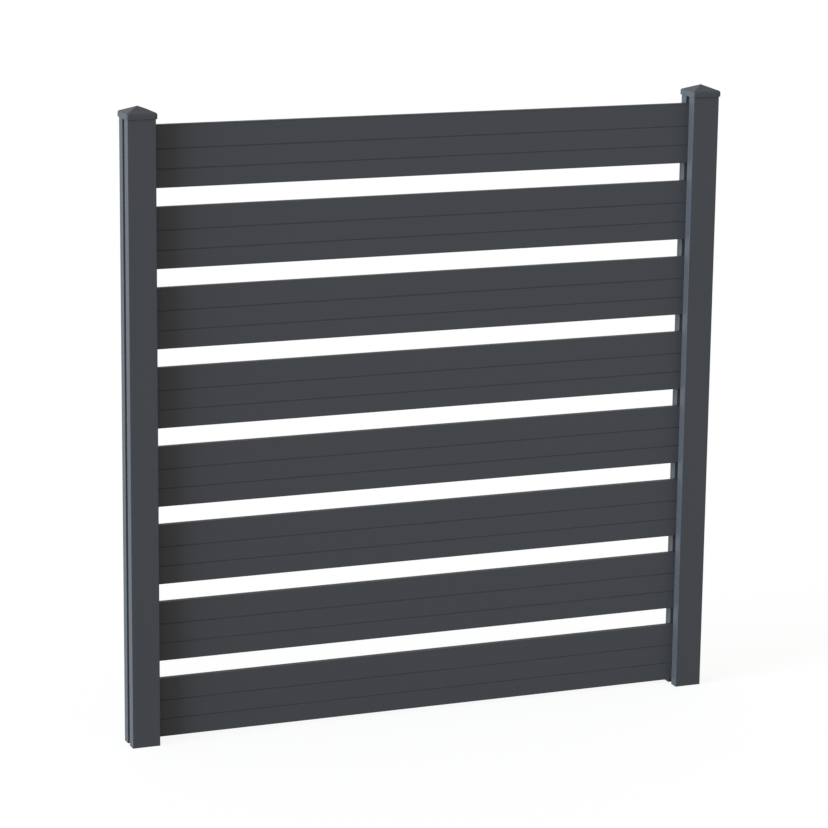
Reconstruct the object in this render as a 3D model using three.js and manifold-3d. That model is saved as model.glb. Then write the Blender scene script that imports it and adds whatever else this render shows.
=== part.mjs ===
// A garden privacy screen: two slotted aluminium posts with pyramid caps hold eight hollow
// aluminium boards, one above the other, with an open gap between each pair of boards.
// Millimetres. X runs along the screen, -Y is its front, Z is up, and the posts stand on Z = 0.
import * as THREE from 'three';
import { mergeVertices } from 'three/addons/utils/BufferGeometryUtils.js';
import Module from 'manifold-3d';

const wasm = await Module();
wasm.setup();

// The stack of boards
const CLEAR_WIDTH = 1600; // between the facing sides of the two posts
const BOARD_COUNT = 8;
const BOARD_GAP = 52; // open height between two boards
const GROUND_GAP = 15; // open height under the lowest board

// One board: three flat strips with a V-shaped groove between each pair, on both faces
const BOARD_HEIGHT = 170;
const BOARD_THICKNESS = 18;
const LOWER_GROOVE = 51; // each groove's bottom line above the board's lower edge
const UPPER_GROOVE = 106;
const GROOVE_DEPTH = 2; // the groove's sides stand at 45 degrees
const BOARD_EDGE_RADIUS = 1.2;
const BOARD_WALL = 1.4;
const BOARD_END_PLAY = 4; // room at each end of a board for the metal to grow in the sun

// The strip that closes the top of the stack
const TOP_STRIP_THICKNESS = 1.7;
const TOP_STRIP_EDGE_RADIUS = 0.6;

// The posts: square extrusions with a slot for the boards in each side face
const POST_SIDE = 80;
const POST_HEADROOM = 34; // post above the strip on the top board
const POST_WALL = 2.2;
const POST_CORNER_RADIUS = 1.5;
const SLOT_DEPTH = 18;
const SLOT_WALL = 2;
const SLOT_EDGE_RADIUS = 0.8;
const PORT_RADIUS = 2.1; // the screw ports in the corners of a post's core
const PORT_WALL = 1.5;
const PORT_MOUTH = 1.2; // the open part of a port's circle, in radians

// The blocks in the slots, which carry the boards and keep them apart
const BLOCK_DEPTH = 10;
const BLOCK_WALL = 2.4;
const BLOCK_RIB_HEIGHT = 0.5;
const BLOCK_RIB_WIDTH = 1.6;
const BLOCK_RIB_SPACING = 5;

// The screws that hold the lowest and the topmost block to each post
const SCREW_SHANK_RADIUS = 1.65;
const SCREW_HEAD_RADIUS = 3.4;
const SCREW_HEAD_HEIGHT = 2.3;
const SCREW_POINT_LENGTH = 3.5;
const SCREW_REACH = 5; // past the inner side of the slot's wall
const PAN_HEAD_DOME = 0.4; // share of the head's height that is rounded
const PAN_HEAD_SHOULDER = 0.85; // share of the head's radius, a third of the dome below its top
const PAN_HEAD_FLAT = 0.5; // share of the head's radius that is flat on top
const DRIVE_WIDTH = 0.9;
const DRIVE_SPAN = 3.8;
const DRIVE_DEPTH = 1.3;

// The caps: a low pyramid with a skirt round the post and a crossed web that centres it in the core
const CAP_WALL = 3.5;
const CAP_SKIRT_BELOW = 14; // skirt below the post's top
const CAP_EAVE_ABOVE = 3.2; // top of the shoulder above the face that sits on the post
const CAP_RISE = 15.1; // peak above the top of the shoulder
const CAP_CORNER_RADIUS = 6;
const CAP_EAVE_RADIUS = 6.5; // the round shoulder between the skirt and the slopes
const CAP_LEDGE = 3.8; // width of the face that sits on the post
const CAP_SHELL = 2.5;
const CAP_WEB_THICKNESS = 2;
const CAP_WEB_REACH = 11; // web below the post's top

// Clearances
const SEAT_CLEARANCE = 0.3; // between two pieces that rest on or against each other
const SLIDE_CLEARANCE = 0.8; // between a board's face and the slot's wall
const CAP_CLEARANCE = 0.6; // between the cap's skirt and the post

// Roundness
const CURVE_SEGMENTS = 4;
const PORT_SEGMENTS = 10;
const SCREW_SEGMENTS = 16;
const HOLE_SEGMENTS = 16;

// Sizes that follow from the ones above
const boardPitch = BOARD_HEIGHT + BOARD_GAP;
const boardLength = CLEAR_WIDTH + 2 * (SLOT_DEPTH - BOARD_END_PLAY);
const slotHalfWidth = BOARD_THICKNESS / 2 + SLIDE_CLEARANCE;
const stackTop = GROUND_GAP + BOARD_COUNT * boardPitch - BOARD_GAP;
const stripTop = stackTop + SEAT_CLEARANCE + TOP_STRIP_THICKNESS;
const postHeight = stripTop + POST_HEADROOM;
const postCentre = (CLEAR_WIDTH + POST_SIDE) / 2;
const slotFloor = POST_SIDE / 2 - SLOT_DEPTH; // from a post's middle to the bottom of its slot
const coreHalfX = slotFloor - SLOT_WALL;
const coreHalfY = POST_SIDE / 2 - POST_WALL;
const screwHeight = GROUND_GAP / 2; // above the underside of the block it holds
const blockFace = SEAT_CLEARANCE + BLOCK_DEPTH; // from the slot's floor to the block's outer face
const capSeat = postHeight + SEAT_CLEARANCE;
const capInnerHalf = POST_SIDE / 2 + CAP_CLEARANCE;
const capOuterHalf = capInnerHalf + CAP_WALL;

const finishes = {
  coatedAluminium: new THREE.MeshStandardMaterial({ color: 0x43474b, roughness: 0.6, metalness: 0.3 }),
  capPlastic: new THREE.MeshStandardMaterial({ color: 0x45494c, roughness: 0.65, metalness: 0 }),
  blackPlastic: new THREE.MeshStandardMaterial({ color: 0x17191b, roughness: 0.7, metalness: 0 }),
  blackenedSteel: new THREE.MeshStandardMaterial({ color: 0x2c2d2e, roughness: 0.45, metalness: 0.6 }),
};

// ---- Joining and cutting ----------------------------------------------------------------

function toSolid(geometry) {
  const weldDistance = 1e-4;
  const bare = geometry.clone();
  bare.deleteAttribute('normal');
  bare.deleteAttribute('uv');
  const closed = mergeVertices(bare, weldDistance);
  return new wasm.Manifold(new wasm.Mesh({
    numProp: 3,
    vertProperties: new Float32Array(closed.attributes.position.array),
    triVerts: new Uint32Array(closed.index.array),
  }));
}

function toGeometry(solid) {
  const mesh = solid.getMesh();
  const geometry = new THREE.BufferGeometry();
  geometry.setAttribute('position', new THREE.BufferAttribute(new Float32Array(mesh.vertProperties), 3));
  geometry.setIndex(new THREE.BufferAttribute(new Uint32Array(mesh.triVerts), 1));
  geometry.computeVertexNormals();
  return geometry;
}

function extrude(shape, length) {
  return new THREE.ExtrudeGeometry(shape, {
    depth: length, bevelEnabled: false, curveSegments: CURVE_SEGMENTS,
  });
}

// A length of hollow section: its outline drawn out along Z, less a run through each hollow.
function hollowExtrusion(outline, hollows, length) {
  const overrun = 1; // each hollow's cutter passes both ends
  let solid = toSolid(extrude(outline, length));
  for (const hollow of hollows) {
    const cutter = extrude(hollow, length + 2 * overrun);
    cutter.translate(0, 0, -overrun);
    solid = solid.subtract(toSolid(cutter));
  }
  return solid;
}

// A round cutter along X, from one x to another, at a height above Z = 0.
function holeAlongX(radius, fromX, toX, height) {
  const cutter = new THREE.CylinderGeometry(radius, radius, toX - fromX, HOLE_SEGMENTS);
  cutter.rotateZ(Math.PI / 2);
  cutter.translate((fromX + toX) / 2, 0, height);
  return toSolid(cutter);
}

// ---- Boards -----------------------------------------------------------------------------

// The board's section: X is its depth and Y its height.
function boardOutline() {
  const face = BOARD_THICKNESS / 2;
  const radius = BOARD_EDGE_RADIUS;
  const outline = new THREE.Shape();
  outline.moveTo(radius - face, 0);
  outline.lineTo(face - radius, 0);
  outline.absarc(face - radius, radius, radius, -Math.PI / 2, 0, false);
  for (const height of [LOWER_GROOVE, UPPER_GROOVE]) {
    outline.lineTo(face, height - GROOVE_DEPTH);
    outline.lineTo(face - GROOVE_DEPTH, height);
    outline.lineTo(face, height + GROOVE_DEPTH);
  }
  outline.absarc(face - radius, BOARD_HEIGHT - radius, radius, 0, Math.PI / 2, false);
  outline.absarc(radius - face, BOARD_HEIGHT - radius, radius, Math.PI / 2, Math.PI, false);
  for (const height of [UPPER_GROOVE, LOWER_GROOVE]) {
    outline.lineTo(-face, height + GROOVE_DEPTH);
    outline.lineTo(GROOVE_DEPTH - face, height);
    outline.lineTo(-face, height - GROOVE_DEPTH);
  }
  outline.absarc(radius - face, radius, radius, Math.PI, Math.PI * 1.5, false);
  return outline;
}

// One hollow of the board, with its corners cut back beside a groove to leave an even wall.
function boardChamber(bottom, top, grooveBelow, grooveAbove) {
  const side = BOARD_THICKNESS / 2 - BOARD_WALL;
  const floor = bottom + (grooveBelow ? BOARD_WALL / 2 : BOARD_WALL);
  const ceiling = top - (grooveAbove ? BOARD_WALL / 2 : BOARD_WALL);
  const besideGroove = GROOVE_DEPTH + BOARD_WALL * (Math.SQRT2 - 1) - BOARD_WALL / 2;
  const cutBelow = grooveBelow ? besideGroove : BOARD_EDGE_RADIUS / 2;
  const cutAbove = grooveAbove ? besideGroove : BOARD_EDGE_RADIUS / 2;
  return new THREE.Shape([
    new THREE.Vector2(cutBelow - side, floor),
    new THREE.Vector2(side - cutBelow, floor),
    new THREE.Vector2(side, floor + cutBelow),
    new THREE.Vector2(side, ceiling - cutAbove),
    new THREE.Vector2(side - cutAbove, ceiling),
    new THREE.Vector2(cutAbove - side, ceiling),
    new THREE.Vector2(-side, ceiling - cutAbove),
    new THREE.Vector2(-side, floor + cutBelow),
  ]);
}

function boardGeometry() {
  const chambers = [
    boardChamber(0, LOWER_GROOVE, false, true),
    boardChamber(LOWER_GROOVE, UPPER_GROOVE, true, true),
    boardChamber(UPPER_GROOVE, BOARD_HEIGHT, true, false),
  ];
  return toGeometry(hollowExtrusion(boardOutline(), chambers, boardLength));
}

// A flat bar with its two upper edges rounded, as deep as a board.
function topStripGeometry() {
  const face = BOARD_THICKNESS / 2;
  const radius = TOP_STRIP_EDGE_RADIUS;
  const section = new THREE.Shape();
  section.moveTo(-face, 0);
  section.lineTo(face, 0);
  section.absarc(face - radius, TOP_STRIP_THICKNESS - radius, radius, 0, Math.PI / 2, false);
  section.absarc(radius - face, TOP_STRIP_THICKNESS - radius, radius, Math.PI / 2, Math.PI, false);
  return extrude(section, boardLength);
}

// ---- Posts ------------------------------------------------------------------------------

// The outer line of one side face, from its lower corner to its upper one, with the slot in it.
// A turn of half a circle gives the opposite side.
function addSlottedSide(outline, turn) {
  const side = POST_SIDE / 2;
  const corner = side - POST_CORNER_RADIUS;
  const edge = SLOT_EDGE_RADIUS;
  const sign = Math.cos(turn);
  const quarter = Math.PI / 2;
  outline.absarc(sign * corner, -sign * corner, POST_CORNER_RADIUS, turn - quarter, turn, false);
  outline.absarc(
    sign * (side - edge), -sign * (slotHalfWidth + edge), edge, turn, turn + quarter, false);
  outline.lineTo(sign * slotFloor, -sign * slotHalfWidth);
  outline.lineTo(sign * slotFloor, sign * slotHalfWidth);
  outline.absarc(
    sign * (side - edge), sign * (slotHalfWidth + edge), edge, turn - quarter, turn, false);
  outline.absarc(sign * corner, sign * corner, POST_CORNER_RADIUS, turn, turn + quarter, false);
}

function polar(centre, radius, angle) {
  return new THREE.Vector2(
    centre.x + radius * Math.cos(angle), centre.y + radius * Math.sin(angle));
}

// A C-shaped screw port in one corner of the core, open towards the middle of the post.
function screwPort(centre, turn) {
  const boss = PORT_RADIUS + PORT_WALL;
  const mouthMiddle = turn + Math.PI * 1.25;
  const mouthFirst = mouthMiddle + PORT_MOUTH / 2 - 2 * Math.PI;
  const mouthLast = mouthMiddle - PORT_MOUTH / 2;
  const points = [
    polar(centre, boss * Math.SQRT2, turn - Math.PI / 4),
    polar(centre, boss, turn - Math.PI / 2),
    polar(centre, boss, mouthFirst),
  ];
  for (let step = 0; step <= PORT_SEGMENTS; step++) {
    const angle = mouthFirst + (mouthLast - mouthFirst) * step / PORT_SEGMENTS;
    points.push(polar(centre, PORT_RADIUS, angle));
  }
  points.push(
    polar(centre, boss, mouthLast),
    polar(centre, boss, turn + Math.PI),
    polar(centre, boss * Math.SQRT2, turn + Math.PI * 0.75),
  );
  return points;
}

function postCore() {
  const portX = coreHalfX - PORT_RADIUS - PORT_WALL;
  const portY = coreHalfY - PORT_RADIUS - PORT_WALL;
  const corners = [[1, 1], [-1, 1], [-1, -1], [1, -1]];
  return new THREE.Shape(corners.flatMap(([signX, signY], index) => (
    screwPort(new THREE.Vector2(signX * portX, signY * portY), index * Math.PI / 2))));
}

// The hollow between a slot's side wall and the post's front or back wall.
function postCornerChamber(signX, signY) {
  const inner = new THREE.Vector2(slotFloor, slotHalfWidth + SLOT_WALL);
  const outer = new THREE.Vector2(POST_SIDE / 2 - POST_WALL, POST_SIDE / 2 - POST_WALL);
  return new THREE.Shape([
    new THREE.Vector2(signX * inner.x, signY * inner.y),
    new THREE.Vector2(signX * outer.x, signY * inner.y),
    new THREE.Vector2(signX * outer.x, signY * outer.y),
    new THREE.Vector2(signX * inner.x, signY * outer.y),
  ]);
}

// A post with its board side towards +X. Two holes in that slot's floor take the block screws.
function postGeometry() {
  const outline = new THREE.Shape();
  addSlottedSide(outline, 0);
  addSlottedSide(outline, Math.PI);
  const hollows = [postCore()];
  for (const signX of [-1, 1]) {
    for (const signY of [-1, 1]) {
      hollows.push(postCornerChamber(signX, signY));
    }
  }
  let post = hollowExtrusion(outline, hollows, postHeight);
  for (const height of [screwHeight, stripTop + SEAT_CLEARANCE + screwHeight]) {
    post = post.subtract(holeAlongX(
      SCREW_SHANK_RADIUS + SEAT_CLEARANCE, coreHalfX - SLOT_WALL, slotFloor + SLOT_WALL, height));
  }
  return toGeometry(post);
}

// ---- Blocks in the slots ----------------------------------------------------------------

// The block's section: X points out of the slot from its floor, and the U is open towards the
// floor. Ribs on its two flanks grip the slot's walls.
function blockOutline() {
  const flank = slotHalfWidth - SEAT_CLEARANCE - BLOCK_RIB_HEIGHT;
  const inside = flank - BLOCK_WALL;
  const ribPlaces = [-1, 1].map((sign) => BLOCK_DEPTH / 2 + sign * BLOCK_RIB_SPACING / 2);
  const outline = new THREE.Shape();
  outline.moveTo(0, -flank);
  for (const place of ribPlaces) {
    outline.lineTo(place - BLOCK_RIB_WIDTH / 2, -flank);
    outline.lineTo(place, -flank - BLOCK_RIB_HEIGHT);
    outline.lineTo(place + BLOCK_RIB_WIDTH / 2, -flank);
  }
  outline.lineTo(BLOCK_DEPTH, -flank);
  outline.lineTo(BLOCK_DEPTH, flank);
  for (const place of [...ribPlaces].reverse()) {
    outline.lineTo(place + BLOCK_RIB_WIDTH / 2, flank);
    outline.lineTo(place, flank + BLOCK_RIB_HEIGHT);
    outline.lineTo(place - BLOCK_RIB_WIDTH / 2, flank);
  }
  outline.lineTo(0, flank);
  outline.lineTo(0, inside);
  outline.lineTo(BLOCK_DEPTH - BLOCK_WALL, inside);
  outline.lineTo(BLOCK_DEPTH - BLOCK_WALL, -inside);
  outline.lineTo(0, -inside);
  return outline;
}

function spacerGeometry() {
  return extrude(blockOutline(), BOARD_GAP - 2 * SEAT_CLEARANCE);
}

// A block with a screw hole through its outer wall.
function screwedBlockGeometry(height) {
  const block = toSolid(extrude(blockOutline(), height));
  return toGeometry(block.subtract(holeAlongX(
    SCREW_SHANK_RADIUS + SEAT_CLEARANCE, BLOCK_DEPTH - 2 * BLOCK_WALL, BLOCK_DEPTH + BLOCK_WALL,
    screwHeight)));
}

// ---- Block screws -----------------------------------------------------------------------

// A pan-head screw with a cross drive, its axis along Y and the underside of its head at Y = 0.
function screwGeometry() {
  const shankLength = SEAT_CLEARANCE + blockFace + SLOT_WALL + SCREW_REACH;
  const dome = SCREW_HEAD_HEIGHT * PAN_HEAD_DOME;
  const profile = [
    new THREE.Vector2(0, -shankLength),
    new THREE.Vector2(SCREW_SHANK_RADIUS, SCREW_POINT_LENGTH - shankLength),
    new THREE.Vector2(SCREW_SHANK_RADIUS, 0),
    new THREE.Vector2(SCREW_HEAD_RADIUS, 0),
    new THREE.Vector2(SCREW_HEAD_RADIUS, SCREW_HEAD_HEIGHT - dome),
    new THREE.Vector2(SCREW_HEAD_RADIUS * PAN_HEAD_SHOULDER, SCREW_HEAD_HEIGHT - dome / 3),
    new THREE.Vector2(SCREW_HEAD_RADIUS * PAN_HEAD_FLAT, SCREW_HEAD_HEIGHT),
    new THREE.Vector2(0, SCREW_HEAD_HEIGHT),
  ];
  let screw = toSolid(new THREE.LatheGeometry(profile, SCREW_SEGMENTS));
  for (const [spanX, spanZ] of [[DRIVE_SPAN, DRIVE_WIDTH], [DRIVE_WIDTH, DRIVE_SPAN]]) {
    const slot = new THREE.BoxGeometry(spanX, 2 * DRIVE_DEPTH, spanZ);
    slot.translate(0, SCREW_HEAD_HEIGHT, 0);
    screw = screw.subtract(toSolid(slot));
  }
  return toGeometry(screw);
}

// ---- Caps -------------------------------------------------------------------------------

function roundedSquare(half, radius, height) {
  const points = [];
  for (let corner = 0; corner < 4; corner++) {
    const middle = Math.PI / 4 + corner * Math.PI / 2;
    const centreX = Math.SQRT2 * (half - radius) * Math.cos(middle);
    const centreY = Math.SQRT2 * (half - radius) * Math.sin(middle);
    for (let step = 0; step <= CURVE_SEGMENTS; step++) {
      const angle = middle + (step / CURVE_SEGMENTS - 0.5) * Math.PI / 2;
      points.push([centreX + radius * Math.cos(angle), centreY + radius * Math.sin(angle), height]);
    }
  }
  return points;
}

// A closed solid through a stack of rounded squares, flat below and pointed above.
function pyramid(levels, peak) {
  const rings = levels.map(({ half, radius, height }) => roundedSquare(half, radius, height));
  const size = rings[0].length;
  const positions = [...rings.flat(), [0, 0, levels[0].height], [0, 0, peak]];
  const below = positions.length - 2;
  const above = positions.length - 1;
  const last = (rings.length - 1) * size;
  const triangles = [];
  for (let place = 0; place < size; place++) {
    const next = (place + 1) % size;
    triangles.push(below, next, place, last + place, last + next, above);
    for (let ring = 0; ring < rings.length - 1; ring++) {
      const low = ring * size;
      const high = low + size;
      triangles.push(low + place, low + next, high + next, low + place, high + next, high + place);
    }
  }
  const geometry = new THREE.BufferGeometry();
  geometry.setAttribute('position', new THREE.Float32BufferAttribute(positions.flat(), 3));
  geometry.setIndex(triangles);
  return toSolid(geometry);
}

// A cap in its place above the middle of a post.
function capGeometry() {
  const skirtFoot = postHeight - CAP_SKIRT_BELOW;
  const eave = capSeat + CAP_EAVE_ABOVE;
  const peak = eave + CAP_RISE;
  // Each slope runs from the peak and touches the shoulder's circle.
  const toShoulder = new THREE.Vector2(
    capOuterHalf - CAP_EAVE_RADIUS, CAP_RISE + CAP_EAVE_RADIUS);
  const slopeAngle = toShoulder.angle() - Math.asin(CAP_EAVE_RADIUS / toShoulder.length());
  const outerLevels = [
    { half: capOuterHalf, radius: CAP_CORNER_RADIUS, height: skirtFoot },
    { half: capOuterHalf, radius: CAP_CORNER_RADIUS, height: eave - CAP_EAVE_RADIUS },
  ];
  for (let step = 1; step <= CURVE_SEGMENTS; step++) {
    const angle = step / CURVE_SEGMENTS * (Math.PI / 2 - slopeAngle);
    const inwards = CAP_EAVE_RADIUS * (1 - Math.cos(angle));
    outerLevels.push({
      half: capOuterHalf - inwards,
      radius: CAP_CORNER_RADIUS - inwards,
      height: eave + CAP_EAVE_RADIUS * (Math.sin(angle) - 1),
    });
  }
  const outside = pyramid(outerLevels, peak);

  const skirtRadius = POST_CORNER_RADIUS + CAP_CLEARANCE;
  const socket = pyramid([
    { half: capInnerHalf, radius: skirtRadius, height: skirtFoot - CAP_SKIRT_BELOW },
    { half: capInnerHalf, radius: skirtRadius, height: capSeat },
  ], capSeat);
  const hollowHalf = capInnerHalf - CAP_LEDGE;
  const hollowPeak = peak - CAP_SHELL / Math.cos(slopeAngle);
  const hollow = pyramid([
    { half: hollowHalf, radius: skirtRadius, height: capSeat - CAP_LEDGE },
    { half: hollowHalf, radius: skirtRadius, height: hollowPeak - hollowHalf * Math.tan(slopeAngle) },
  ], hollowPeak);
  let cap = outside.subtract(socket).subtract(hollow);

  const webHeight = CAP_WEB_REACH + CAP_EAVE_ABOVE + CAP_RISE;
  const webSpans = [
    [2 * (coreHalfX - SEAT_CLEARANCE), CAP_WEB_THICKNESS],
    [CAP_WEB_THICKNESS, 2 * (coreHalfY - SEAT_CLEARANCE)],
  ];
  for (const [spanX, spanY] of webSpans) {
    const web = new THREE.BoxGeometry(spanX, spanY, webHeight);
    web.translate(0, 0, postHeight - CAP_WEB_REACH + webHeight / 2);
    cap = cap.add(toSolid(web).intersect(outside));
  }
  return toGeometry(cap);
}

// ---- The assembly -----------------------------------------------------------------------

const screen = new THREE.Group();

function place(name, geometry, material, position, rotation = [0, 0, 0]) {
  const mesh = new THREE.Mesh(geometry, material);
  mesh.name = name;
  mesh.position.set(...position);
  mesh.rotation.set(...rotation);
  screen.add(mesh);
}

const alongX = [Math.PI / 2, Math.PI / 2, 0]; // turns an extrusion's length from Z to X
const board = boardGeometry();
for (let index = 0; index < BOARD_COUNT; index++) {
  const bottom = GROUND_GAP + index * boardPitch;
  place(`board_${index + 1}`, board, finishes.coatedAluminium, [-boardLength / 2, 0, bottom], alongX);
}
place('top_strip', topStripGeometry(), finishes.coatedAluminium,
  [-boardLength / 2, 0, stackTop + SEAT_CLEARANCE], alongX);

const post = postGeometry();
const cap = capGeometry();
const spacer = spacerGeometry();
const baseBlock = screwedBlockGeometry(GROUND_GAP - SEAT_CLEARANCE);
const topBlockFoot = stripTop + SEAT_CLEARANCE;
const topBlock = screwedBlockGeometry(postHeight - topBlockFoot);
const screw = screwGeometry();

for (const [side, sign] of [['left', -1], ['right', 1]]) {
  const facing = [0, 0, sign < 0 ? 0 : Math.PI]; // the left post's board slot faces +X
  const blockX = sign * (CLEAR_WIDTH / 2 + SLOT_DEPTH - SEAT_CLEARANCE);
  const screwX = sign * (CLEAR_WIDTH / 2 + SLOT_DEPTH - blockFace - SEAT_CLEARANCE);
  place(`${side}_post`, post, finishes.coatedAluminium, [sign * postCentre, 0, 0], facing);
  place(`${side}_cap`, cap, finishes.capPlastic, [sign * postCentre, 0, 0], facing);
  place(`${side}_base_block`, baseBlock, finishes.blackPlastic, [blockX, 0, 0], facing);
  place(`${side}_top_block`, topBlock, finishes.blackPlastic, [blockX, 0, topBlockFoot], facing);
  for (let index = 1; index < BOARD_COUNT; index++) {
    const bottom = GROUND_GAP + index * boardPitch - BOARD_GAP + SEAT_CLEARANCE;
    place(`${side}_spacer_${index}`, spacer, finishes.blackPlastic, [blockX, 0, bottom], facing);
  }
  const headTowardsPanel = [0, 0, sign * Math.PI / 2];
  place(`${side}_base_screw`, screw, finishes.blackenedSteel, [screwX, 0, screwHeight], headTowardsPanel);
  place(`${side}_top_screw`, screw, finishes.blackenedSteel,
    [screwX, 0, topBlockFoot + screwHeight], headTowardsPanel);
}

export default screen;
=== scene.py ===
import math

import bmesh
import bpy
from mathutils import Matrix, Vector


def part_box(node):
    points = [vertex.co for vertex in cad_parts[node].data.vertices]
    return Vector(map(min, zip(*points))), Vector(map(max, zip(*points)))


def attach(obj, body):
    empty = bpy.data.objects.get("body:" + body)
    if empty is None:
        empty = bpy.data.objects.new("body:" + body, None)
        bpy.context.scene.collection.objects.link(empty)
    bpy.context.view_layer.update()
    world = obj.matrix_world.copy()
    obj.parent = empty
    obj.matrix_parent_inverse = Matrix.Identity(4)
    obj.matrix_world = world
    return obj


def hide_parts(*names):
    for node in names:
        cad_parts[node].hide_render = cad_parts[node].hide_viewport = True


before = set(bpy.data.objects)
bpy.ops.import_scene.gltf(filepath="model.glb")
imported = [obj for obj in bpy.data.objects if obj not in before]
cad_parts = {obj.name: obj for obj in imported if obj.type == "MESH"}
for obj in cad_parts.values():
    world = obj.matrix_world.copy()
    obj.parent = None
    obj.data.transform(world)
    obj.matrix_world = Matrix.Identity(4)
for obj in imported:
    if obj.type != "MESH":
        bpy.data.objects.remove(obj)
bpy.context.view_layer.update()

# ---- Camera ------------------------------------------------------------------------------
# The photograph's viewpoint: well to the left of the screen and a little above it, through a
# long lens. The place and the three angles come from the lines of the posts and boards.
photo_yaw, photo_pitch, photo_roll = (math.radians(angle) for angle in (21.641, 12.96, 0.671))


def new_object(name, data):
    """Puts a camera, a light or a mesh in the scene as an object."""
    made = bpy.data.objects.new(name, data)
    bpy.context.scene.collection.objects.link(made)
    return made


lens = bpy.data.cameras.new("photo_camera")
lens.lens = 137.08
lens.sensor_width = 36
camera = new_object("photo_camera", lens)
camera.location = (-3.2435, -8.0924, 2.8904)
camera.rotation_euler = (
    Matrix.Rotation(-photo_yaw, 3, "Z")
    @ Matrix.Rotation(math.pi / 2 - photo_pitch, 3, "X")
    @ Matrix.Rotation(photo_roll, 3, "Z")).to_euler()
bpy.context.scene.camera = camera

# ---- Posts -------------------------------------------------------------------------------
# Two square hollow posts, extruded in aluminium with a board slot in each side face and four
# screw ports in the corners of the core, then powder coated anthracite with a fine matt grain.
# They stand on their sawn feet and hold everything else.
POST_CORNER = 0.0015
SLOT_LIP = 0.0008
POST_WALL = 0.0022
SLOT_WALL = 0.002
SLOT_HALF_WIDTH = 0.0098
SLOT_DEPTH = 0.018
PORT_RADIUS = 0.0021
PORT_WALL = 0.0015
PORT_MOUTH = 1.2  # the open part of a port's circle, in radians
PORT_STEPS = 16
SCREW_HOLE_RADIUS = 0.00195
SCREW_HOLE_HEIGHT = 0.0075  # above the foot of the block that the screw holds
SCREW_HOLE_SIDES = 32
FLAT_START = 1.2  # the point beside a curve, in times the curve's own reach from the corner
WELD_DISTANCE = 0.00001
SHARP_ANGLE = math.radians(35)
COAT_COLOUR = (0.0405, 0.0415, 0.0450)
COAT_ROUGHNESS = 0.55
DARK_END, LIGHT_END = 0.3, 0.7  # where a pattern reaches the darkest and the lightest shade


def rounded_section(corners, steps=8):
    """A closed outline through (x, y, radius) corners. A point beside each end of a curve keeps
    the shading of the flats next to it flat."""
    outline = []
    for index, (x, y, radius) in enumerate(corners):
        corner = Vector((x, y))
        if radius == 0:
            outline.append(corner)
            continue
        back = (Vector(corners[index - 1][:2]) - corner).normalized()
        ahead = (Vector(corners[(index + 1) % len(corners)][:2]) - corner).normalized()
        half = back.angle(ahead) / 2
        reach = radius / math.tan(half)
        centre = corner + (back + ahead).normalized() * radius / math.sin(half)
        spoke = corner + back * reach - centre
        turn = math.pi - 2 * half
        if back.cross(ahead) > 0:
            turn = -turn
        outline.append(corner + back * reach * FLAT_START)
        outline += [centre + Matrix.Rotation(turn * step / steps, 2) @ spoke
                    for step in range(steps + 1)]
        outline.append(corner + ahead * reach * FLAT_START)
    return outline


def section_loops(name, outlines):
    """A mesh of closed loops of edges in the XY plane: one outer line, then its hollows."""
    points, edges = [], []
    for outline in outlines:
        first, count = len(points), len(outline)
        points += [(x, y, 0) for x, y in outline]
        edges += [(first + place, first + (place + 1) % count) for place in range(count)]
    mesh = bpy.data.meshes.new(name)
    mesh.from_pydata(points, edges, [])
    return new_object(name, mesh)


def new_tree(name, inputs):
    """An empty tree of geometry nodes, with a geometry in and out and the named inputs."""
    tree = bpy.data.node_groups.new(name, "GeometryNodeTree")
    tree.is_modifier = True
    tree.interface.new_socket(name="Geometry", in_out="INPUT", socket_type="NodeSocketGeometry")
    tree.interface.new_socket(name="Geometry", in_out="OUTPUT", socket_type="NodeSocketGeometry")
    for label, kind, value in inputs:
        socket = tree.interface.new_socket(
            name=label, in_out="INPUT", socket_type=f"NodeSocket{kind}")
        if value is not None:
            socket.default_value = value
    return tree, tree.nodes.new("NodeGroupInput"), tree.nodes.new("NodeGroupOutput")


def chain(tree, *nodes):
    """Links each node's first output to the next node's first input."""
    for earlier, later in zip(nodes, nodes[1:]):
        tree.links.new(earlier.outputs[0], later.inputs[0])


def apply_tree(piece, tree, values):
    """Runs the tree on the piece and keeps the result as its plain mesh."""
    modifier = piece.modifiers.new(tree.name, "NODES")
    modifier.node_group = tree
    for socket in tree.interface.items_tree:
        if socket.in_out == "INPUT" and socket.name in values:
            modifier[socket.identifier] = values[socket.name]
    depsgraph = bpy.context.evaluated_depsgraph_get()
    mesh = bpy.data.meshes.new_from_object(piece.evaluated_get(depsgraph))
    piece.modifiers.remove(modifier)
    piece.data = mesh
    mesh.name = piece.name


def finish_piece(tree, given, made, result):
    """Smooths what the tree has made, keeps its sharp edges, and gives it its material."""
    add = tree.nodes.new
    smooth = add("GeometryNodeSetShadeSmooth")
    crease = add("GeometryNodeSetShadeSmooth")
    crease.domain = "EDGE"
    crease.inputs["Shade Smooth"].default_value = False
    bend = add("GeometryNodeInputMeshEdgeAngle")
    sharp = add("FunctionNodeCompare")
    sharp.inputs[1].default_value = SHARP_ANGLE
    whole = add("GeometryNodeRealizeInstances")
    coat = add("GeometryNodeSetMaterial")
    chain(tree, made, smooth, crease, whole, coat, result)
    tree.links.new(bend.outputs["Unsigned Angle"], sharp.inputs[0])
    tree.links.new(sharp.outputs[0], crease.inputs["Selection"])
    tree.links.new(given.outputs["Finish"], coat.inputs["Material"])


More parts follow.
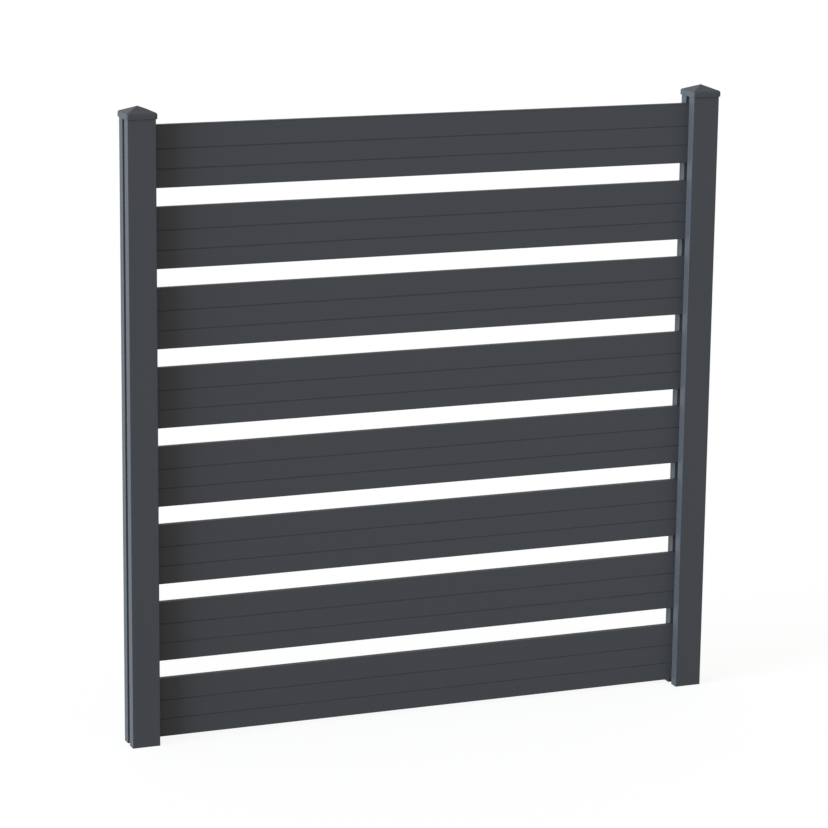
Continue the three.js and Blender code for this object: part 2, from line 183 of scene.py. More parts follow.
def profile_tree():
    """Fills a section, draws it out along Z, closes its two ends and sets it in its place."""
    tree, given, result = new_tree("drawn_profile", [
        ("Length", "Float", 1.0), ("Turn", "Vector", (0, 0, 0)), ("Foot", "Vector", (0, 0, 0)),
        ("Finish", "Material", None)])
    add = tree.nodes.new
    lines = add("GeometryNodeMeshToCurve")
    fill = add("GeometryNodeFillCurve")
    far_end = add("GeometryNodeExtrudeMesh")
    far_end.inputs["Individual"].default_value = False
    along = add("ShaderNodeCombineXYZ")
    along.inputs["Z"].default_value = 1
    near_end = add("GeometryNodeFlipFaces")
    join = add("GeometryNodeJoinGeometry")
    weld = add("GeometryNodeMergeByDistance")
    weld.inputs["Distance"].default_value = WELD_DISTANCE
    settle = add("GeometryNodeTransform")
    chain(tree, given, lines, fill, far_end, join, weld, settle)
    chain(tree, fill, near_end, join)
    finish_piece(tree, given, settle, result)
    link = tree.links.new
    link(along.outputs[0], far_end.inputs["Offset"])
    link(given.outputs["Length"], far_end.inputs["Offset Scale"])
    link(given.outputs["Turn"], settle.inputs["Rotation"])
    link(given.outputs["Foot"], settle.inputs["Translation"])
    return tree


def drilling_tree():
    """Drills a row of round holes along X, one above the other, through the finished piece."""
    tree, given, result = new_tree("drilled_piece", [
        ("Radius", "Float", 0.001), ("Length", "Float", 0.01), ("First", "Vector", (0, 0, 0)),
        ("Count", "Int", 1), ("Step", "Vector", (0, 0, 1)), ("Finish", "Material", None)])
    add = tree.nodes.new
    cutter = add("GeometryNodeMeshCylinder")
    cutter.inputs["Vertices"].default_value = SCREW_HOLE_SIDES
    level = add("GeometryNodeTransform")
    level.inputs["Rotation"].default_value = (0, math.pi / 2, 0)
    places = add("GeometryNodeMeshLine")
    row = add("GeometryNodeInstanceOnPoints")
    cutters = add("GeometryNodeRealizeInstances")
    drill = add("GeometryNodeMeshBoolean")
    drill.operation = "DIFFERENCE"
    drill.solver = "EXACT"
    chain(tree, cutter, level)
    chain(tree, places, row, cutters)
    link = tree.links.new
    link(given.outputs["Radius"], cutter.inputs["Radius"])
    link(given.outputs["Length"], cutter.inputs["Depth"])
    link(given.outputs["Count"], places.inputs["Count"])
    link(given.outputs["First"], places.inputs["Start Location"])
    link(given.outputs["Step"], places.inputs["Offset"])
    link(level.outputs[0], row.inputs["Instance"])
    link(given.outputs[0], drill.inputs["Mesh 1"])
    link(cutters.outputs[0], drill.inputs["Mesh 2"])
    finish_piece(tree, given, drill, result)
    return tree


def plain_material(name, colour, roughness, specular=0.5, metallic=0.0):
    """A named material with its uniform values set, and a function that adds a linked node."""
    material = bpy.data.materials.new(name)
    material.use_nodes = True
    material.diffuse_color = (*colour, 1)
    tree = material.node_tree
    shader = tree.nodes["Principled BSDF"]
    shader.inputs["Base Color"].default_value = (*colour, 1)
    shader.inputs["Roughness"].default_value = roughness
    shader.inputs["Specular IOR Level"].default_value = specular
    shader.inputs["Metallic"].default_value = metallic

    def add(kind, sources=(), **settings):
        node = tree.nodes.new(kind)
        for setting, value in settings.items():
            if hasattr(node, setting):
                setattr(node, setting, value)
            else:
                node.inputs[setting.replace("_", " ")].default_value = value
        for socket, source in sources:
            tree.links.new(source, node.inputs[socket])
        return node

    return material, shader, add


def shaded(add, pattern, colour, spread):
    """The colour, darker and lighter by a share of itself where a pattern is low and high."""
    shade = add("ShaderNodeValToRGB", [("Fac", pattern)])
    low, high = shade.color_ramp.elements
    low.position, high.position = DARK_END, LIGHT_END
    low.color = (*(part * (1 - spread) for part in colour), 1)
    high.color = (*(part * (1 + spread) for part in colour), 1)
    return shade.outputs["Color"]


def varied(add, pattern, middle, spread):
    """A value that goes below and above the middle one with a pattern."""
    value = add("ShaderNodeMapRange", [("Value", pattern)])
    value.inputs["To Min"].default_value = middle - spread
    value.inputs["To Max"].default_value = middle + spread
    return value.outputs["Result"]


def powder_coat(name, line_scale):
    """Anthracite powder coat: a fine grain all over, slight swells in the film, and faint drawing
    lines of the metal below, which run along the axis whose scale is small."""
    material, shader, add = plain_material(name, COAT_COLOUR, COAT_ROUGHNESS, specular=0.15)
    link = material.node_tree.links.new
    place = add("ShaderNodeTexCoord").outputs["Object"]
    grain = add("ShaderNodeTexNoise", [("Vector", place)], Scale=1500.0, Detail=3.0, Roughness=0.6)
    swell = add("ShaderNodeTexNoise", [("Vector", place)], Scale=60.0, Detail=2.0)
    squeezed = add("ShaderNodeMapping", [("Vector", place)], Scale=line_scale)
    lines = add("ShaderNodeTexNoise", [("Vector", squeezed.outputs[0])], Scale=220.0, Detail=2.0)
    link(shaded(add, grain.outputs["Fac"], COAT_COLOUR, spread=0.14), shader.inputs["Base Color"])
    link(varied(add, swell.outputs["Fac"], COAT_ROUGHNESS, spread=0.05), shader.inputs["Roughness"])
    drawn = add("ShaderNodeBump", [("Height", lines.outputs["Fac"])],
                Strength=0.25, Distance=0.00003)
    film = add("ShaderNodeBump", [("Height", swell.outputs["Fac"]), ("Normal", drawn.outputs[0])],
               Strength=0.3, Distance=0.0002)
    skin = add("ShaderNodeBump", [("Height", grain.outputs["Fac"]), ("Normal", film.outputs[0])],
               Strength=0.35, Distance=0.00008)
    link(skin.outputs[0], shader.inputs["Normal"])
    return material


def post_section(side):
    """The post's outer line, its core with the four ports, and its four corner chambers."""
    half, floor = side / 2, side / 2 - SLOT_DEPTH
    face = [(half, -half, POST_CORNER), (half, -SLOT_HALF_WIDTH, SLOT_LIP),
            (floor, -SLOT_HALF_WIDTH, 0), (floor, SLOT_HALF_WIDTH, 0),
            (half, SLOT_HALF_WIDTH, SLOT_LIP), (half, half, POST_CORNER)]
    outer = rounded_section(face + [(-x, -y, radius) for x, y, radius in face])
    core_x, core_y, boss = floor - SLOT_WALL, half - POST_WALL, PORT_RADIUS + PORT_WALL
    core = []
    for quarter, (sign_x, sign_y) in enumerate([(1, 1), (-1, 1), (-1, -1), (1, -1)]):
        centre = Vector((sign_x * (core_x - boss), sign_y * (core_y - boss)))
        turn = quarter * math.pi / 2
        mouth = turn + math.pi * 1.25  # each port opens towards the middle of the core
        first, last = mouth + PORT_MOUTH / 2 - 2 * math.pi, mouth - PORT_MOUTH / 2
        # The line leaves one wall, goes round the boss and into its port, and joins the next wall.
        ring = [(boss * math.sqrt(2), turn - math.pi / 4), (boss, turn - math.pi / 2),
                (boss, first)]
        ring += [(PORT_RADIUS, first + (last - first) * step / PORT_STEPS)
                 for step in range(PORT_STEPS + 1)]
        ring += [(boss, last), (boss, turn + math.pi),
                 (boss * math.sqrt(2), turn + math.pi * 0.75)]
        core += [centre + Vector((math.cos(angle), math.sin(angle))) * reach
                 for reach, angle in ring]
    low, high = SLOT_HALF_WIDTH + SLOT_WALL, half - POST_WALL
    chambers = [[Vector((sign_x * x, sign_y * y)) for x, y in
                 ((floor, low), (high, low), (high, high), (floor, high))]
                for sign_x in (-1, 1) for sign_y in (-1, 1)]
    return [outer, core, *chambers]


drawn_profile = profile_tree()
drilled_piece = drilling_tree()
post_coat = powder_coat("post_coat", (1, 1, 0.02))
for side, panel_side in (("left", 1), ("right", -1)):
    low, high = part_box(f"{side}_post")
    post = section_loops(f"slotted_post_{side}", post_section(high.x - low.x))
    middle = (low.x + high.x) / 2
    apply_tree(post, drawn_profile, {
        "Length": high.z - low.z, "Foot": (middle, 0.0, low.z), "Finish": post_coat})
    slot_floor = (high.x - low.x) / 2 - SLOT_DEPTH - SLOT_WALL / 2
    top_block_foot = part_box(f"{side}_top_block")[0].z
    apply_tree(post, drilled_piece, {
        "Radius": SCREW_HOLE_RADIUS, "Length": SLOT_WALL * 2, "Count": 2,
        "First": (middle + panel_side * slot_floor, 0.0, SCREW_HOLE_HEIGHT),
        "Step": (0.0, 0.0, top_block_foot), "Finish": post_coat})
    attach(post, "root")
    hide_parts(f"{side}_post")

# ---- Boards ------------------------------------------------------------------------------
# Eight hollow aluminium boards, extruded with two V-grooves on each face and powder coated as
# the posts are. Each one's ends stand in the posts' slots, with room for the metal to grow.
BOARD_COUNT = 8
GROOVE_HEIGHTS = (0.051, 0.106)  # above the board's lower edge
GROOVE_DEPTH = 0.002
BOARD_EDGE = 0.0012
GROOVE_EDGE = 0.0004
BOARD_WALL = 0.0014


def board_section(depth, height):
    """The board's outer line with its grooves, and the chamber between each pair of webs."""
    face = depth / 2
    front = [(face, 0, BOARD_EDGE)]
    for groove in GROOVE_HEIGHTS:
        front += [(face, groove - GROOVE_DEPTH, GROOVE_EDGE),
                  (face - GROOVE_DEPTH, groove, GROOVE_EDGE),
                  (face, groove + GROOVE_DEPTH, GROOVE_EDGE)]
    front.append((face, height, BOARD_EDGE))
    back = [(-x, y, radius) for x, y, radius in reversed(front)]
    outer = rounded_section(front + back, steps=5)
    chambers = []
    webs = [0, *GROOVE_HEIGHTS, height]
    for below, above in zip(webs, webs[1:]):
        cut_low = GROOVE_DEPTH if below else BOARD_EDGE / 2
        cut_high = GROOVE_DEPTH if above < height else BOARD_EDGE / 2
        floor = below + BOARD_WALL / (2 if below else 1)
        ceiling = above - BOARD_WALL / (2 if above < height else 1)
        side = face - BOARD_WALL
        right = [(side - cut_low, floor), (side, floor + cut_low), (side, ceiling - cut_high),
                 (side - cut_high, ceiling)]
        chambers.append([Vector(spot) for spot in right + [(-x, y) for x, y in reversed(right)]])
    return [outer, *chambers]


board_coat = powder_coat("board_coat", (0.02, 1, 1))
for number in range(1, BOARD_COUNT + 1):
    low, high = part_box(f"board_{number}")
    section = board_section(high.y - low.y, high.z - low.z)
    board = section_loops(f"grooved_board_{number}", section)
    apply_tree(board, drawn_profile, {
        "Length": high.x - low.x, "Turn": (math.pi / 2, 0.0, math.pi / 2),
        "Foot": (low.x, 0.0, low.z), "Finish": board_coat})
    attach(board, "root")
    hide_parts(f"board_{number}")

# ---- Closing strip -----------------------------------------------------------------------
# A flat aluminium bar, coated as the boards are, that lies on the top board and closes the
# stack. Its ends run into the posts' slots with the board's own.
STRIP_EDGE = 0.0006

low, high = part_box("top_strip")
half, height = (high.y - low.y) / 2, high.z - low.z
strip = section_loops("closing_strip", [rounded_section([
    (half, 0, 0), (half, height, STRIP_EDGE), (-half, height, STRIP_EDGE), (-half, 0, 0)])])
apply_tree(strip, drawn_profile, {
    "Length": high.x - low.x, "Turn": (math.pi / 2, 0.0, math.pi / 2),
    "Foot": (low.x, 0.0, low.z), "Finish": board_coat})
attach(strip, "root")
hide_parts("top_strip")

# ---- Caps --------------------------------------------------------------------------------
# A low pyramid cap, moulded as one thin shell in anthracite plastic, closes each post. Its skirt
# goes round the post, a ledge inside sits on the post's end, and a crossed web reaches down into
# the core to centre it.
CAP_WALL = 0.0035
CAP_CORNER = 0.006
CAP_SHOULDER = 0.0065
CAP_SHOULDER_STEPS = 10
CAP_RISE = 0.0151  # from the top of the shoulder's circle to the peak
CAP_BLUNTNESS = 0.0001
CAP_LEDGE = 0.0038
CAP_SHELL = 0.0025
CAP_SEAT = 0.0003
CAP_FOOT_EDGE = 0.001
CAP_FOOT_STEPS = 4
CAP_INNER_CORNER = 0.0021
CEILING_RINGS = (0.02, 0.5, 0.97, 1)  # shares of the hollow's reach, from the middle outwards
ROOF_RINGS = (0.97, 0.5, 0.1, 0.03)  # shares of the roof's reach, from the shoulder inwards
WEB_THICKNESS = 0.002
WEB_DEPTH = 0.011
WEB_PLAY = 0.0003


def square_ring(half, corner, height):
    """The points of a square with round corners, at a height."""
    corners = [(x, y, corner) for x, y in
               ((half, -half), (half, half), (-half, half), (-half, -half))]
    return [Vector((x, y, height)) for x, y in rounded_section(corners)]


def closed_piece(name, shape):
    """Turns the shape's faces outwards and puts it in the scene as an object of its own."""
    bmesh.ops.recalc_face_normals(shape, faces=shape.faces)
    mesh = bpy.data.meshes.new(name)
    shape.to_mesh(mesh)
    shape.free()
    return new_object(name, mesh)


def ringed_mesh(name, first_point, rings, last_point):
    """A closed mesh from a point, through rings of as many points each, to another point."""
    shape = bmesh.new()
    levels = [[shape.verts.new(point) for point in ring] for ring in rings]
    for below, above in zip(levels, levels[1:]):
        for place, corner in enumerate(below):
            shape.faces.new((below[place - 1], corner, above[place], above[place - 1]))
    for tip, ring in ((first_point, levels[0]), (last_point, levels[-1])):
        peak = shape.verts.new(tip)
        for place, corner in enumerate(ring):
            shape.faces.new((ring[place - 1], corner, peak))
    return closed_piece(name, shape)


def roof_angle(half):
    """The pitch of a slope that runs from the peak and touches the shoulder's circle."""
    run, drop = half - CAP_SHOULDER, CAP_RISE + CAP_SHOULDER
    return math.atan2(drop, run) - math.asin(CAP_SHOULDER / math.hypot(drop, run))


def cap_rings(foot, seat, peak, half):
    """The cap's rings from the hollow's upper end, over the ledge and the skirt, to the peak."""
    pitch = roof_angle(half)
    socket = half - CAP_WALL
    hollow = socket - CAP_LEDGE
    hollow_peak = peak - CAP_SHELL / math.cos(pitch)
    rings = [(hollow * share, CAP_INNER_CORNER * share,
              hollow_peak - math.tan(pitch) * hollow * share) for share in CEILING_RINGS]
    rings += [(hollow, CAP_INNER_CORNER, seat), (socket, CAP_INNER_CORNER, seat),
              (socket, CAP_INNER_CORNER, foot + CAP_FOOT_EDGE),
              (socket + CAP_FOOT_EDGE, CAP_INNER_CORNER + CAP_FOOT_EDGE, foot)]
    for step in range(CAP_FOOT_STEPS + 1):
        angle = step / CAP_FOOT_STEPS * math.pi / 2
        inwards = CAP_FOOT_EDGE * (1 - math.sin(angle))
        rings.append((half - inwards, CAP_CORNER - inwards,
                      foot + CAP_FOOT_EDGE * (1 - math.cos(angle))))
    # Two rings near the skirt's edges keep the shading of its flat sides flat.
    shoulder = peak - CAP_RISE - CAP_SHOULDER
    rings += [(half, CAP_CORNER, foot + 2 * CAP_FOOT_EDGE),
              (half, CAP_CORNER, shoulder - CAP_FOOT_EDGE)]
    for step in range(CAP_SHOULDER_STEPS + 1):
        angle = step / CAP_SHOULDER_STEPS * (math.pi / 2 - pitch)
        inwards = CAP_SHOULDER * (1 - math.cos(angle))
        rings.append((half - inwards, CAP_CORNER - inwards,
                      shoulder + CAP_SHOULDER * math.sin(angle)))
    reach, corner, height = rings[-1]
    rings += [(reach * share, corner * share, peak - (peak - height) * share)
              for share in ROOF_RINGS]
    return rings


def web_plate(name, reach, foot, peak, slope, crosswise):
    """A plate across the cap, from below the ledge up into the middle of the sloping shell."""
    outline = [(-reach, foot), (reach, foot), (reach, peak - slope * reach), (0, peak),
               (-reach, peak - slope * reach)]
    shape = bmesh.new()
    sides = [[shape.verts.new((x, side * WEB_THICKNESS / 2, z)) for x, z in outline]
             for side in (-1, 1)]
    shape.faces.new(sides[0])
    shape.faces.new(reversed(sides[1]))
    for place in range(len(outline)):
        shape.faces.new((sides[0][place - 1], sides[0][place],
                         sides[1][place], sides[1][place - 1]))
    if crosswise:
        bmesh.ops.rotate(shape, verts=shape.verts, matrix=Matrix.Rotation(math.pi / 2, 3, "Z"))
    return closed_piece(name, shape)


def fuse_tree():
    """Joins other solids to the piece, sets it in its place and finishes it."""
    tree, given, result = new_tree("fused_piece", [
        ("Second", "Object", None), ("Third", "Object", None), ("Place", "Vector", (0, 0, 0)),
        ("Finish", "Material", None)])
    fuse = tree.nodes.new("GeometryNodeMeshBoolean")
    fuse.operation = "UNION"
    fuse.solver = "EXACT"
    tree.links.new(given.outputs[0], fuse.inputs["Mesh 2"])
    for other in ("Second", "Third"):
        read = tree.nodes.new("GeometryNodeObjectInfo")
        tree.links.new(given.outputs[other], read.inputs["Object"])
        tree.links.new(read.outputs["Geometry"], fuse.inputs["Mesh 2"])
    settle = tree.nodes.new("GeometryNodeTransform")
    tree.links.new(fuse.outputs[0], settle.inputs[0])
    tree.links.new(given.outputs["Place"], settle.inputs["Translation"])
    finish_piece(tree, given, settle, result)
    return tree


def moulded_plastic(name, colour, roughness, grain_size, grain_depth):
    """Moulded plastic with the fine even grain of its mould and a faint cloudiness."""
    material, shader, add = plain_material(name, colour, roughness, specular=0.13)
    link = material.node_tree.links.new
    place = add("ShaderNodeTexCoord").outputs["Object"]
    grain = add("ShaderNodeTexVoronoi", [("Vector", place)], Scale=1 / grain_size, Randomness=1.0)
    cloud = add("ShaderNodeTexNoise", [("Vector", place)], Scale=45.0, Detail=3.0)
    link(shaded(add, cloud.outputs["Fac"], colour, spread=0.08), shader.inputs["Base Color"])
    link(varied(add, cloud.outputs["Fac"], roughness, spread=0.05), shader.inputs["Roughness"])
    skin = add("ShaderNodeBump", [("Height", grain.outputs["Distance"])],
               Strength=0.4, Distance=grain_depth)
    link(skin.outputs[0], shader.inputs["Normal"])
    return material


fused_piece = fuse_tree()
cap_plastic = moulded_plastic("cap_plastic", COAT_COLOUR, COAT_ROUGHNESS,
                              grain_size=0.0008, grain_depth=0.00006)
for side in ("left", "right"):
    low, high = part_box(f"{side}_cap")
    post_low, post_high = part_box(f"{side}_post")
    half, seat = (high.x - low.x) / 2, post_high.z + CAP_SEAT
    rings = cap_rings(low.z, seat, high.z, half)
    cap = ringed_mesh(f"pyramid_cap_{side}", (0, 0, high.z - CAP_SHELL),
                      [square_ring(*ring) for ring in rings], (0, 0, high.z - CAP_BLUNTNESS))
    slope = math.tan(roof_angle(half))
    core = (post_high.x - post_low.x) / 2
    along = core - SLOT_DEPTH - SLOT_WALL - WEB_PLAY
    across = core - POST_WALL - WEB_PLAY
    web_foot, web_peak = post_high.z - WEB_DEPTH, high.z - CAP_SHELL / 2
    plates = [web_plate("web_along", along, web_foot, web_peak, slope, False),
              web_plate("web_across", across, web_foot, web_peak, slope, True)]
    apply_tree(cap, fused_piece, {
        "Second": plates[0], "Third": plates[1], "Place": ((low.x + high.x) / 2, 0.0, 0.0),
        "Finish": cap_plastic})
    for plate in plates:
        bpy.data.objects.remove(plate)
    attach(cap, "root")
    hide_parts(f"{side}_cap")

# ---- Blocks in the slots -----------------------------------------------------------------
# Black plastic blocks stand in the posts' slots. Seven spacers on each side keep the gaps
# between the boards open, a base block carries the lowest board, and a top block keeps the
# stack down. Two ribs along each flank grip the slot's walls.
SPACER_COUNT = BOARD_COUNT - 1
BLOCK_WALL = 0.0024
BLOCK_RIB_HEIGHT = 0.0005
BLOCK_RIB_WIDTH = 0.0016
BLOCK_RIB_SPACING = 0.005
BLOCK_CORNER = 0.0006


def block_section(depth, width):
    """A U open towards the slot's floor, X pointing out of the slot, with ribs on its flanks."""
    flank = width / 2 - BLOCK_RIB_HEIGHT
    upper = [(depth, flank, BLOCK_CORNER)]
    for place in (depth / 2 + BLOCK_RIB_SPACING / 2, depth / 2 - BLOCK_RIB_SPACING / 2):
        upper += [(place + BLOCK_RIB_WIDTH / 2, flank, 0), (place, width / 2, 0),
                  (place - BLOCK_RIB_WIDTH / 2, flank, 0)]
    upper += [(0, flank, 0), (0, flank - BLOCK_WALL, 0),
              (depth - BLOCK_WALL, flank - BLOCK_WALL, 0)]
    lower = [(x, -y, radius) for x, y, radius in reversed(upper)]
    return rounded_section(upper + lower, steps=4)


def block_row_tree():
    """Draws a block out to its height and repeats it up the slot."""
    tree, given, result = new_tree("block_row", [
        ("Height", "Float", 0.05), ("Count", "Int", 1), ("Step", "Vector", (0, 0, 1)),
        ("Turn", "Vector", (0, 0, 0)), ("Foot", "Vector", (0, 0, 0)), ("Finish", "Material", None)])
    add = tree.nodes.new
    block = add("GeometryNodeGroup")
    block.node_tree = drawn_profile
    places = add("GeometryNodeMeshLine")
    row = add("GeometryNodeInstanceOnPoints")
    settle = add("GeometryNodeTransform")
    whole = add("GeometryNodeRealizeInstances")
    coat = add("GeometryNodeSetMaterial")
    chain(tree, places, row, settle, whole, coat, result)
    link = tree.links.new
    link(given.outputs[0], block.inputs[0])
    link(given.outputs["Height"], block.inputs["Length"])
    link(given.outputs["Finish"], block.inputs["Finish"])
    link(given.outputs["Count"], places.inputs["Count"])
    link(given.outputs["Step"], places.inputs["Offset"])
    link(block.outputs[0], row.inputs["Instance"])
    link(given.outputs["Turn"], settle.inputs["Rotation"])
    link(given.outputs["Foot"], settle.inputs["Translation"])
    link(given.outputs["Finish"], coat.inputs["Material"])
    return tree


def add_blocks(name, node, count, step, drilled):
    """One row of like blocks in a post's slot, from its lowest one's box."""
    low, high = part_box(node)
    left = low.x < 0
    depth = high.x - low.x
    blocks = section_loops(name, [block_section(depth, high.y - low.y)])
    apply_tree(blocks, block_row, {
        "Height": high.z - low.z, "Count": count, "Step": (0.0, 0.0, step),
        "Turn": (0.0, 0.0, 0.0 if left else math.pi), "Finish": black_plastic,
        "Foot": (low.x if left else high.x, 0.0, low.z)})
    if drilled:
        apply_tree(blocks, drilled_piece, {
            "Radius": SCREW_HOLE_RADIUS, "Length": BLOCK_WALL * 2, "Count": 1,
            "First": (high.x if left else low.x, 0.0, low.z + SCREW_HOLE_HEIGHT),
            "Finish": black_plastic})
    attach(blocks, "root")
    return blocks


block_row = block_row_tree()
black_plastic = moulded_plastic("black_plastic", (0.012, 0.012, 0.013), roughness=0.5,
                                grain_size=0.0006, grain_depth=0.00003)
for side in ("left", "right"):
    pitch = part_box(f"{side}_spacer_2")[0].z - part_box(f"{side}_spacer_1")[0].z
    spacers = add_blocks(f"gap_spacers_{side}", f"{side}_spacer_1", SPACER_COUNT, pitch, False)
    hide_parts(*(f"{side}_spacer_{number}" for number in range(1, SPACER_COUNT + 1)))
    for level in ("base", "top"):
        block = add_blocks(f"{level}_block_{side}", f"{side}_{level}_block", 1, 0.0, True)
        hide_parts(f"{side}_{level}_block")

# ---- Block screws ------------------------------------------------------------------------
# A pan-head self-tapping screw with a cross drive holds each base and top block to the floor of
# its slot. It is cold-headed and thread-rolled from steel wire, then blackened.
SCREW_HEAD = 0.0023
SCREW_HEAD_RADIUS = 0.0034
SCREW_DOME_FOOT = 0.45  # where the head's dome starts, as a share of the head's height
SCREW_DOME_STEPS = 8
SCREW_CREST_RADIUS = 0.00165
SCREW_CORE_RADIUS = 0.0012
SCREW_EDGE = 0.0001
SCREW_POINT = 0.0035
SCREW_TIP = 0.0002
SCREW_SIDES = 32
THREAD_PITCH = 0.0012
THREAD_STEPS = 24  # in one turn of the thread
RIDGE_RADIUS = 0.42  # of the thread's ridge, as a share of the pitch
RIDGE_SIDES = 4
DRIVE_WIDTH = 0.0009
DRIVE_SPAN = 0.0038
DRIVE_DEPTH = 0.0013


def screw_body(name, length):
    """The head and the unthreaded core, turned round Z with the head's underside at Z = 0."""
    dome = []
    for step in range(SCREW_DOME_STEPS):
        angle = step * math.pi / 2 / SCREW_DOME_STEPS
        rise = SCREW_DOME_FOOT + (1 - SCREW_DOME_FOOT) * math.sin(angle)
        dome.append((SCREW_HEAD_RADIUS * math.cos(angle), SCREW_HEAD * rise))
    profile = [(SCREW_TIP, -length + SCREW_TIP), (SCREW_CORE_RADIUS, SCREW_POINT - length),
               (SCREW_CORE_RADIUS, -SCREW_EDGE), (SCREW_CORE_RADIUS + SCREW_EDGE, 0),
               (SCREW_HEAD_RADIUS - SCREW_EDGE, 0), (SCREW_HEAD_RADIUS, SCREW_EDGE), *dome]
    turns = [step * 2 * math.pi / SCREW_SIDES for step in range(SCREW_SIDES)]
    rings = [[Vector((radius * math.cos(turn), radius * math.sin(turn), height))
              for turn in turns] for radius, height in profile]
    return ringed_mesh(name, (0, 0, -length), rings, (0, 0, SCREW_HEAD))


def screw_tree():
    """Winds the thread on the core, cuts the cross drive and sets the screws one above another."""
    tree, given, result = new_tree("cross_drive_screw", [
        ("Crest radius", "Float", SCREW_CREST_RADIUS), ("Pitch", "Float", THREAD_PITCH),
        ("Thread length", "Float", 0.01), ("Drive width", "Float", DRIVE_WIDTH),
        ("Drive span", "Float", DRIVE_SPAN), ("Drive depth", "Float", DRIVE_DEPTH),
        ("Count", "Int", 1), ("Step", "Vector", (0, 0, 1)), ("Turn", "Vector", (0, 0, 0)),
        ("Foot", "Vector", (0, 0, 0)), ("Finish", "Material", None)])
    add, link = tree.nodes.new, tree.links.new

    def worked_out(operation, first, second):
        node = add("ShaderNodeMath")
        node.operation = operation
        for socket, value in zip(node.inputs, (first, second)):
            if isinstance(value, (int, float)):
                socket.default_value = value
            else:
                link(value, socket)
        return node.outputs[0]

    thread = add("GeometryNodeCurveSpiral")
    thread.inputs["Resolution"].default_value = THREAD_STEPS
    link(worked_out("DIVIDE", given.outputs["Thread length"], given.outputs["Pitch"]),
         thread.inputs["Rotations"])
    ridge_radius = worked_out("MULTIPLY", given.outputs["Pitch"], RIDGE_RADIUS)
    root = worked_out("SUBTRACT", given.outputs["Crest radius"], ridge_radius)
    link(root, thread.inputs["Start Radius"])
    link(root, thread.inputs["End Radius"])
    link(given.outputs["Thread length"], thread.inputs["Height"])
    ridge = add("GeometryNodeCurvePrimitiveCircle")
    ridge.inputs["Resolution"].default_value = RIDGE_SIDES
    link(ridge_radius, ridge.inputs["Radius"])
    wound = add("GeometryNodeCurveToMesh")
    wound.inputs["Fill Caps"].default_value = True
    link(thread.outputs[0], wound.inputs["Curve"])
    link(ridge.outputs[0], wound.inputs["Profile Curve"])
    lower = add("GeometryNodeTransform")
    link(wound.outputs[0], lower.inputs[0])
    drop = add("ShaderNodeCombineXYZ")
    reach = worked_out("ADD", given.outputs["Thread length"], ridge_radius)
    link(worked_out("MULTIPLY", reach, -1.0), drop.inputs["Z"])
    link(drop.outputs[0], lower.inputs["Translation"])
    threaded = add("GeometryNodeMeshBoolean")
    threaded.operation = "UNION"
    threaded.solver = "EXACT"
    link(given.outputs[0], threaded.inputs["Mesh 2"])
    link(lower.outputs[0], threaded.inputs["Mesh 2"])
    driven = add("GeometryNodeMeshBoolean")
    driven.operation = "DIFFERENCE"
    driven.solver = "EXACT"
    link(threaded.outputs[0], driven.inputs["Mesh 1"])
    for turn in (0, math.pi / 2):
        size = add("ShaderNodeCombineXYZ")
        link(given.outputs["Drive span"], size.inputs["X"])
        link(given.outputs["Drive width"], size.inputs["Y"])
        link(worked_out("MULTIPLY", given.outputs["Drive depth"], 2.0), size.inputs["Z"])
        arm = add("GeometryNodeMeshCube")
        link(size.outputs[0], arm.inputs["Size"])
        raised = add("GeometryNodeTransform")
        raised.inputs["Translation"].default_value = (0, 0, SCREW_HEAD)
        raised.inputs["Rotation"].default_value = (0, 0, turn)
        link(arm.outputs[0], raised.inputs[0])
        link(raised.outputs[0], driven.inputs["Mesh 2"])
    turned = add("GeometryNodeTransform")
    link(driven.outputs[0], turned.inputs[0])
    link(given.outputs["Turn"], turned.inputs["Rotation"])
    places = add("GeometryNodeMeshLine")
    link(given.outputs["Count"], places.inputs["Count"])
    link(given.outputs["Foot"], places.inputs["Start Location"])
    link(given.outputs["Step"], places.inputs["Offset"])
    row = add("GeometryNodeInstanceOnPoints")
    link(places.outputs[0], row.inputs["Points"])
    link(turned.outputs[0], row.inputs["Instance"])
    finish_piece(tree, given, row, result)
    return tree


def blackened_steel():
    """Steel with a thin black oxide skin that lets a little of the metal shine through."""
    roughness = 0.4
    material, shader, add = plain_material("blackened_steel", (0.03, 0.03, 0.032), roughness,
                                           specular=0.5, metallic=0.6)
    place = add("ShaderNodeTexCoord").outputs["Object"]
    patch = add("ShaderNodeTexNoise", [("Vector", place)], Scale=900.0, Detail=3.0)
    material.node_tree.links.new(varied(add, patch.outputs["Fac"], roughness, spread=0.1),
                                 shader.inputs["Roughness"])
    return material


cross_drive_screw = screw_tree()
screw_steel = blackened_steel()
for side, panel_side in (("left", 1), ("right", -1)):
    low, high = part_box(f"{side}_base_screw")
    upper_low, upper_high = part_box(f"{side}_top_screw")
    length = high.x - low.x - SCREW_HEAD
    head_foot = high.x - SCREW_HEAD if panel_side > 0 else low.x + SCREW_HEAD
    screws = screw_body(f"block_screws_{side}", length)
    apply_tree(screws, cross_drive_screw, {
        "Thread length": length - SCREW_POINT, "Count": 2, "Step": (0.0, 0.0, upper_low.z - low.z),
        "Turn": (0.0, panel_side * math.pi / 2, 0.0), "Finish": screw_steel,
        "Foot": (head_foot, 0.0, (low.z + high.z) / 2)})
    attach(screws, "root")
    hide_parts(f"{side}_base_screw", f"{side}_top_screw")

# ---- Light, sky and floor ----------------------------------------------------------------
# One broad cool light, level with the screen on its left and a little in front, as the
# photograph's side faces and the soft shadows beside its left post show, and an even pale sky.
FLOOR_REACH = 60
FLOOR_DROP = 0.0005  # keeps the floor just clear of the feet
SHADOW_SHARE = 0.12  # the share of the floor's look that the lights give, with their shadows

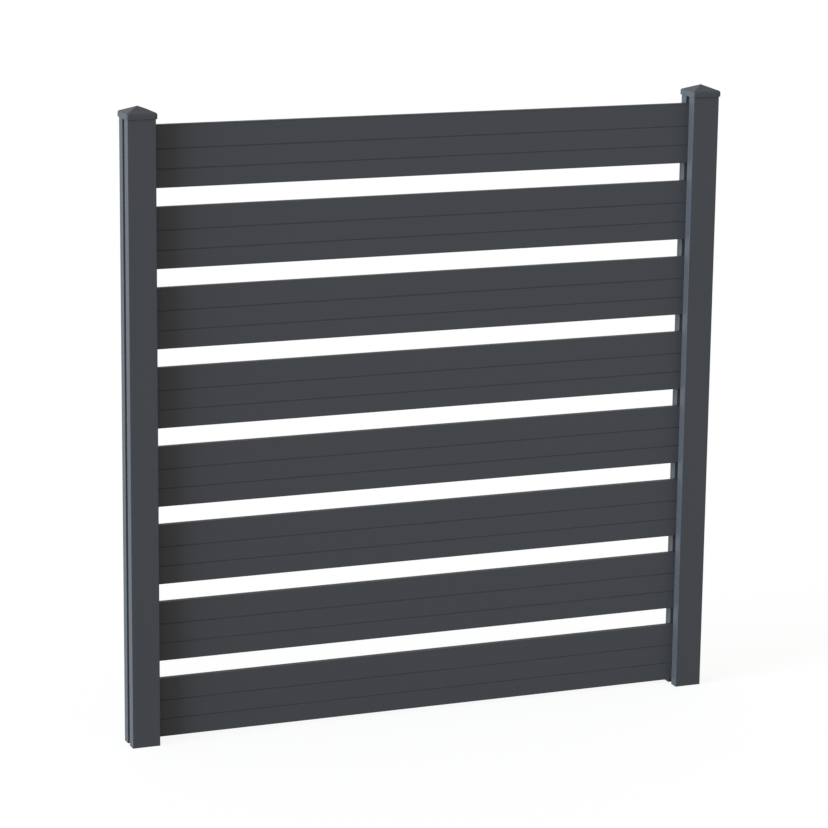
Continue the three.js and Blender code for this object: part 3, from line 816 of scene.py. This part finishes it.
sun = bpy.data.lights.new("broad_light", "SUN")
sun.energy = 16.8
sun.color = (0.70, 0.855, 1.0)
sun.angle = math.radians(35)
towards_light = Vector((-0.15, -0.028, 0.004))
lamp = new_object("broad_light", sun)
lamp.rotation_euler = towards_light.to_track_quat("Z", "Y").to_euler()


def mixed(tree, first, second):
    """Mixes two shaders: a Fac of 0 gives the first alone, and 1 the second."""
    mix = tree.nodes.new("ShaderNodeMixShader")
    tree.links.new(first.outputs[0], mix.inputs[1])
    tree.links.new(second.outputs[0], mix.inputs[2])
    return mix


def shown_to(tree, rays, shown, otherwise):
    """Gives the named kinds of ray one shader, and all other rays the other."""
    path = tree.nodes.new("ShaderNodeLightPath")
    factor = path.outputs[rays[0]]
    for kind in rays[1:]:
        either = tree.nodes.new("ShaderNodeMath")
        either.operation = "MAXIMUM"
        tree.links.new(factor, either.inputs[0])
        tree.links.new(path.outputs[kind], either.inputs[1])
        factor = either.outputs[0]
    mix = mixed(tree, otherwise, shown)
    tree.links.new(factor, mix.inputs["Fac"])
    return mix


sky = bpy.data.worlds.new("sky")
bpy.context.scene.world = sky
sky.use_nodes = True
tree = sky.node_tree
pale_sky = tree.nodes["Background"]
pale_sky.inputs["Strength"].default_value = 0.82
pale_sky.inputs["Color"].default_value = (1, 0.94, 0.86, 1)
backdrop = tree.nodes.new("ShaderNodeBackground")
backdrop.inputs["Color"].default_value = (1, 1, 1, 1)
surround = shown_to(tree, ("Is Camera Ray", "Is Glossy Ray", "Is Transmission Ray"),
                    backdrop, otherwise=pale_sky)
tree.links.new(surround.outputs[0], tree.nodes["World Output"].inputs["Surface"])

paper = bpy.data.materials.new("studio_floor")
paper.use_nodes = True
tree = paper.node_tree
tree.nodes.remove(tree.nodes["Principled BSDF"])
matt = tree.nodes.new("ShaderNodeBsdfDiffuse")
matt.inputs["Color"].default_value = (0.6, 0.6, 0.6, 1)
pale = tree.nodes.new("ShaderNodeBsdfDiffuse")
pale.inputs["Color"].default_value = (0.95, 0.95, 0.95, 1)
glow = tree.nodes.new("ShaderNodeEmission")
lit = mixed(tree, glow, pale)
lit.inputs["Fac"].default_value = SHADOW_SHARE
floor_look = shown_to(tree, ("Is Camera Ray", "Is Glossy Ray"), lit, otherwise=matt)
tree.links.new(floor_look.outputs[0], tree.nodes["Material Output"].inputs["Surface"])

ground_corners = [(x * FLOOR_REACH, y * FLOOR_REACH, -FLOOR_DROP)
                  for x, y in ((-1, -1), (1, -1), (1, 1), (-1, 1))]
ground_mesh = bpy.data.meshes.new("studio_floor")
ground_mesh.from_pydata(ground_corners, [], [(0, 1, 2, 3)])
ground_mesh.materials.append(paper)
ground = new_object("studio_floor", ground_mesh)

bpy.context.scene.view_settings.view_transform = "Standard"
